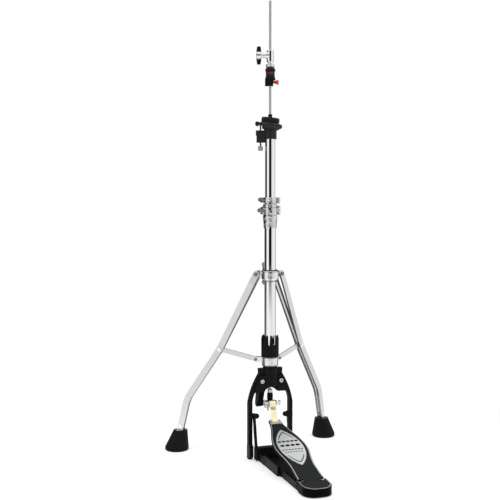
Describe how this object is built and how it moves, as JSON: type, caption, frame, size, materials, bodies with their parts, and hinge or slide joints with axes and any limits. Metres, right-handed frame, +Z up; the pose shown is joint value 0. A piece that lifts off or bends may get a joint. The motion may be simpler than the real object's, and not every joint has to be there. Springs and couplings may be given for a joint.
{
  "type": "hi-hat stand",
  "caption": "Free-standing hi-hat stand: folding legs and base, footboard linked to a spring-loaded pull rod inside telescoping tubes, with tilting cymbal seat and clutch.",
  "frame": {"origin": "on the floor under the axis of the pull rod", "axes": "+Z up along the pull rod, -Y forwards towards the heel of the pedal, +X to the right seen from the pedal's heel"},
  "size_m": [0.4722, 0.4972, 1.139],
  "materials": {
    "chrome": "polished chrome plate",
    "bright_steel": "bright steel rod",
    "leg_steel": "plated pressed steel, softer shine than the tubes",
    "black_casting": "satin black powder coat",
    "black_plastic": "matte black moulded plastic",
    "seat_plastic": "dark grey-green moulded plastic",
    "black_rubber": "black rubber",
    "board_black": "satin dark grey-black paint with a bare metal edge line",
    "badge_silver": "satin silver",
    "zinc": "zinc-plated steel",
    "washer_silver": "light satin metal",
    "felt": "pressed dark grey wool felt",
    "red_plastic": "red moulded plastic",
    "red_fibre": "dark red fibre washer",
    "strap_belt": "cream woven belt",
    "nylon": "dark nylon liner",
    "spring_steel": "oiled spring wire"
  },
  "bodies": {
    "frame": {"base_frame": "black_casting", "front_plate": "black_casting", "frame_screws": "zinc", "frame_pads": "black_rubber", "lever_pin": "zinc", "lower_tube": "chrome", "tube_joint": "chrome", "tube_liner": "nylon"},
    "joint_wing": {"tube_joint_wing": "chrome"},
    "lock": {"memory_lock": "chrome"},
    "lock_wing": {"memory_lock_wing": "chrome"},
    "dial": {"tension_dial": "black_plastic"},
    "spring_seat": {"spring_seat": "zinc"},
    "pull_rod": {"lower_rod": "bright_steel", "upper_rod": "bright_steel", "rod_coupler": "zinc", "rod_nut": "zinc", "rod_end": "black_plastic", "return_spring": "spring_steel"},
    "lever": {"lever_arm": "black_casting", "strap_shaft": "chrome"},
    "shaft_wing": {"shaft_wing": "chrome"},
    "strap": {"drive_strap": "strap_belt"},
    "pedal_base": {"base_plate": "black_casting", "base_pad": "black_rubber", "heel_plate": "board_black", "hinge_pin": "zinc", "side_struts": "black_casting", "fold_bolts": "black_plastic"},
    "footboard": {"footboard": "board_black", "badge_plate": "badge_silver", "strap_clamp": "badge_silver", "strap_clamp_screws": "zinc"},
    "leg_base": {"brace_collar": "chrome", "brace_pins": "chrome"},
    "leg_collar": {"leg_collar": "chrome", "collar_liner": "black_plastic", "leg_pins": "chrome"},
    "collar_wing": {"collar_wing": "chrome"},
    "left_leg": {"left_leg_bars": "leg_steel", "left_leg_fittings": "chrome", "left_foot": "black_rubber"},
    "right_leg": {"right_leg_bars": "leg_steel", "right_leg_fittings": "chrome", "right_foot": "black_rubber"},
    "left_brace": {"left_brace": "leg_steel"},
    "right_brace": {"right_brace": "leg_steel"},
    "upper_tube": {"upper_tube": "chrome", "seat_base": "seat_plastic", "seat_sleeve": "black_plastic"},
    "seat_cup": {"seat_cup": "seat_plastic", "seat_felt": "felt"},
    "tilt_screw": {"tilt_screw": "zinc"},
    "clutch": {"clutch_body": "chrome", "clutch_top_nut": "washer_silver", "clutch_felts": "felt", "clutch_washer": "red_fibre"},
    "clutch_wing": {"clutch_wing": "chrome"},
    "clutch_nut": {"clutch_bottom_nut": "black_plastic"},
    "lock_screw": {"clutch_lock_screw": "red_plastic"}
  },
  "joints": [
    {"name": "base_fold", "type": "hinge", "parent": "frame", "child": "pedal_base", "pos_m": [0, -0.008, 0.108], "axis": [-1, 0, 0], "range_deg": [0, 62], "deforming": ["drive_strap"]},
    {"name": "footboard_press", "type": "hinge", "parent": "pedal_base", "child": "footboard", "pos_m": [0, -0.27275, 0.01999], "axis": [-1, 0, 0], "range_deg": [0, 6.6], "stiffness_Nm_per_rad": 8, "springref_deg": -34.38},
    {"name": "lever_swing", "type": "hinge", "parent": "frame", "child": "lever", "pos_m": [0, 0.028, 0.132], "axis": [1, 0, 0], "range_deg": [0, 33.2]},
    {"name": "strap_swing", "type": "hinge", "parent": "lever", "child": "strap", "pos_m": [0, -0.016, 0.1395], "axis": [1, 0, 0], "range_deg": [-24.9, 0]},
    {"name": "rod_pull", "type": "slide", "parent": "frame", "child": "pull_rod", "axis": [0, 0, -1], "range_m": [0, 0.0168], "deforming": ["return_spring"]},
    {"name": "shaft_wing_turn", "type": "hinge", "parent": "lever", "child": "shaft_wing", "pos_m": [0, -0.016, 0.1395], "axis": [1, 0, 0], "continuous": true},
    {"name": "leg_swivel", "type": "hinge", "parent": "frame", "child": "leg_base", "pos_m": [0, 0, 0.246], "axis": [0, 0, 1], "range_deg": [-40, 40]},
    {"name": "leg_slide", "type": "slide", "parent": "leg_base", "child": "leg_collar", "axis": [0, 0, 1], "range_m": [0, 0.072]},
    {"name": "collar_wing_turn", "type": "hinge", "parent": "leg_collar", "child": "collar_wing", "pos_m": [-0.00262, 0.02989, 0.46], "axis": [-0.0872, 0.9962, 0], "range_deg": [-28, 28]},
    {"name": "height_slide", "type": "slide", "parent": "frame", "child": "upper_tube", "axis": [0, 0, 1], "range_m": [-0.05, 0.02]},
    {"name": "joint_wing_turn", "type": "hinge", "parent": "frame", "child": "joint_wing", "pos_m": [-0.01785, 0.0065, 0.62], "axis": [0.342, 0.9397, 0], "continuous": true},
    {"name": "lock_slide", "type": "slide", "parent": "frame", "child": "lock", "axis": [0, 0, 1], "range_m": [0, 0.03]},
    {"name": "lock_wing_turn", "type": "hinge", "parent": "lock", "child": "lock_wing", "pos_m": [-0.01785, 0.0065, 0.647], "axis": [0.342, 0.9397, 0], "continuous": true},
    {"name": "seat_tilt", "type": "hinge", "parent": "upper_tube", "child": "seat_cup", "pos_m": [0, 0, 0.84], "axis": [0.342, 0.9397, 0], "range_deg": [-6.5, 2.5]},
    {"name": "tilt_screw_travel", "type": "slide", "parent": "upper_tube", "child": "tilt_screw", "axis": [0, 0, 1], "range_m": [-0.0028, 0.0011]},
    {"name": "dial_turn", "type": "hinge", "parent": "frame", "child": "dial", "pos_m": [0, 0, 0.28], "axis": [0, 0, 1], "range_deg": [0, 180]},
    {"name": "spring_seat_lift", "type": "slide", "parent": "frame", "child": "spring_seat", "axis": [0, 0, 1], "range_m": [0, 0.0081]},
    {"name": "clutch_slide", "type": "slide", "parent": "pull_rod", "child": "clutch", "axis": [0, 0, 1], "range_m": [-0.025, 0.11]},
    {"name": "clutch_wing_turn", "type": "hinge", "parent": "clutch", "child": "clutch_wing", "pos_m": [0, 0, 1.004], "axis": [0.9397, -0.342, 0], "continuous": true},
    {"name": "clutch_nut_turn", "type": "hinge", "parent": "clutch", "child": "clutch_nut", "pos_m": [0, 0, 0.94], "axis": [0, 0, 1], "continuous": true},
    {"name": "lock_screw_turn", "type": "hinge", "parent": "clutch_nut", "child": "lock_screw", "pos_m": [0.0094, -0.00342, 0.938], "axis": [0.9397, -0.342, 0], "continuous": true},
    {"name": "left_leg_swing", "type": "hinge", "parent": "leg_collar", "child": "left_leg", "pos_m": [-0.02736, 0.01845, 0.461], "axis": [-0.5592, -0.829, 0], "range_deg": [0, 10.49]},
    {"name": "left_brace_swing", "type": "hinge", "parent": "leg_base", "child": "left_brace", "pos_m": [-0.02985, 0.02013, 0.246], "axis": [-0.5592, -0.829, 0], "range_deg": [-41.19, 0]},
    {"name": "right_leg_swing", "type": "hinge", "parent": "leg_collar", "child": "right_leg", "pos_m": [0.02736, 0.01845, 0.461], "axis": [-0.5592, 0.829, 0], "range_deg": [0, 10.49]},
    {"name": "right_brace_swing", "type": "hinge", "parent": "leg_base", "child": "right_brace", "pos_m": [0.02985, 0.02013, 0.246], "axis": [-0.5592, 0.829, 0], "range_deg": [-41.19, 0]}
  ],
  "couplings": [
    {"joint": "lever_swing", "follows": "footboard_press", "ratio": 5.0303},
    {"joint": "strap_swing", "follows": "footboard_press", "ratio": -3.7727},
    {"joint": "rod_pull", "follows": "footboard_press", "m_per_rad": 0.14584},
    {"joint": "tilt_screw_travel", "follows": "seat_tilt", "m_per_rad": 0.0243},
    {"joint": "spring_seat_lift", "follows": "dial_turn", "m_per_rad": 0.0025465},
    {"joint": "left_leg_swing", "follows": "leg_slide", "rad_per_m": 2.5358},
    {"joint": "left_brace_swing", "follows": "leg_slide", "rad_per_m": -9.973},
    {"joint": "right_leg_swing", "follows": "leg_slide", "rad_per_m": 2.5358},
    {"joint": "right_brace_swing", "follows": "leg_slide", "rad_per_m": -9.973}
  ]
}
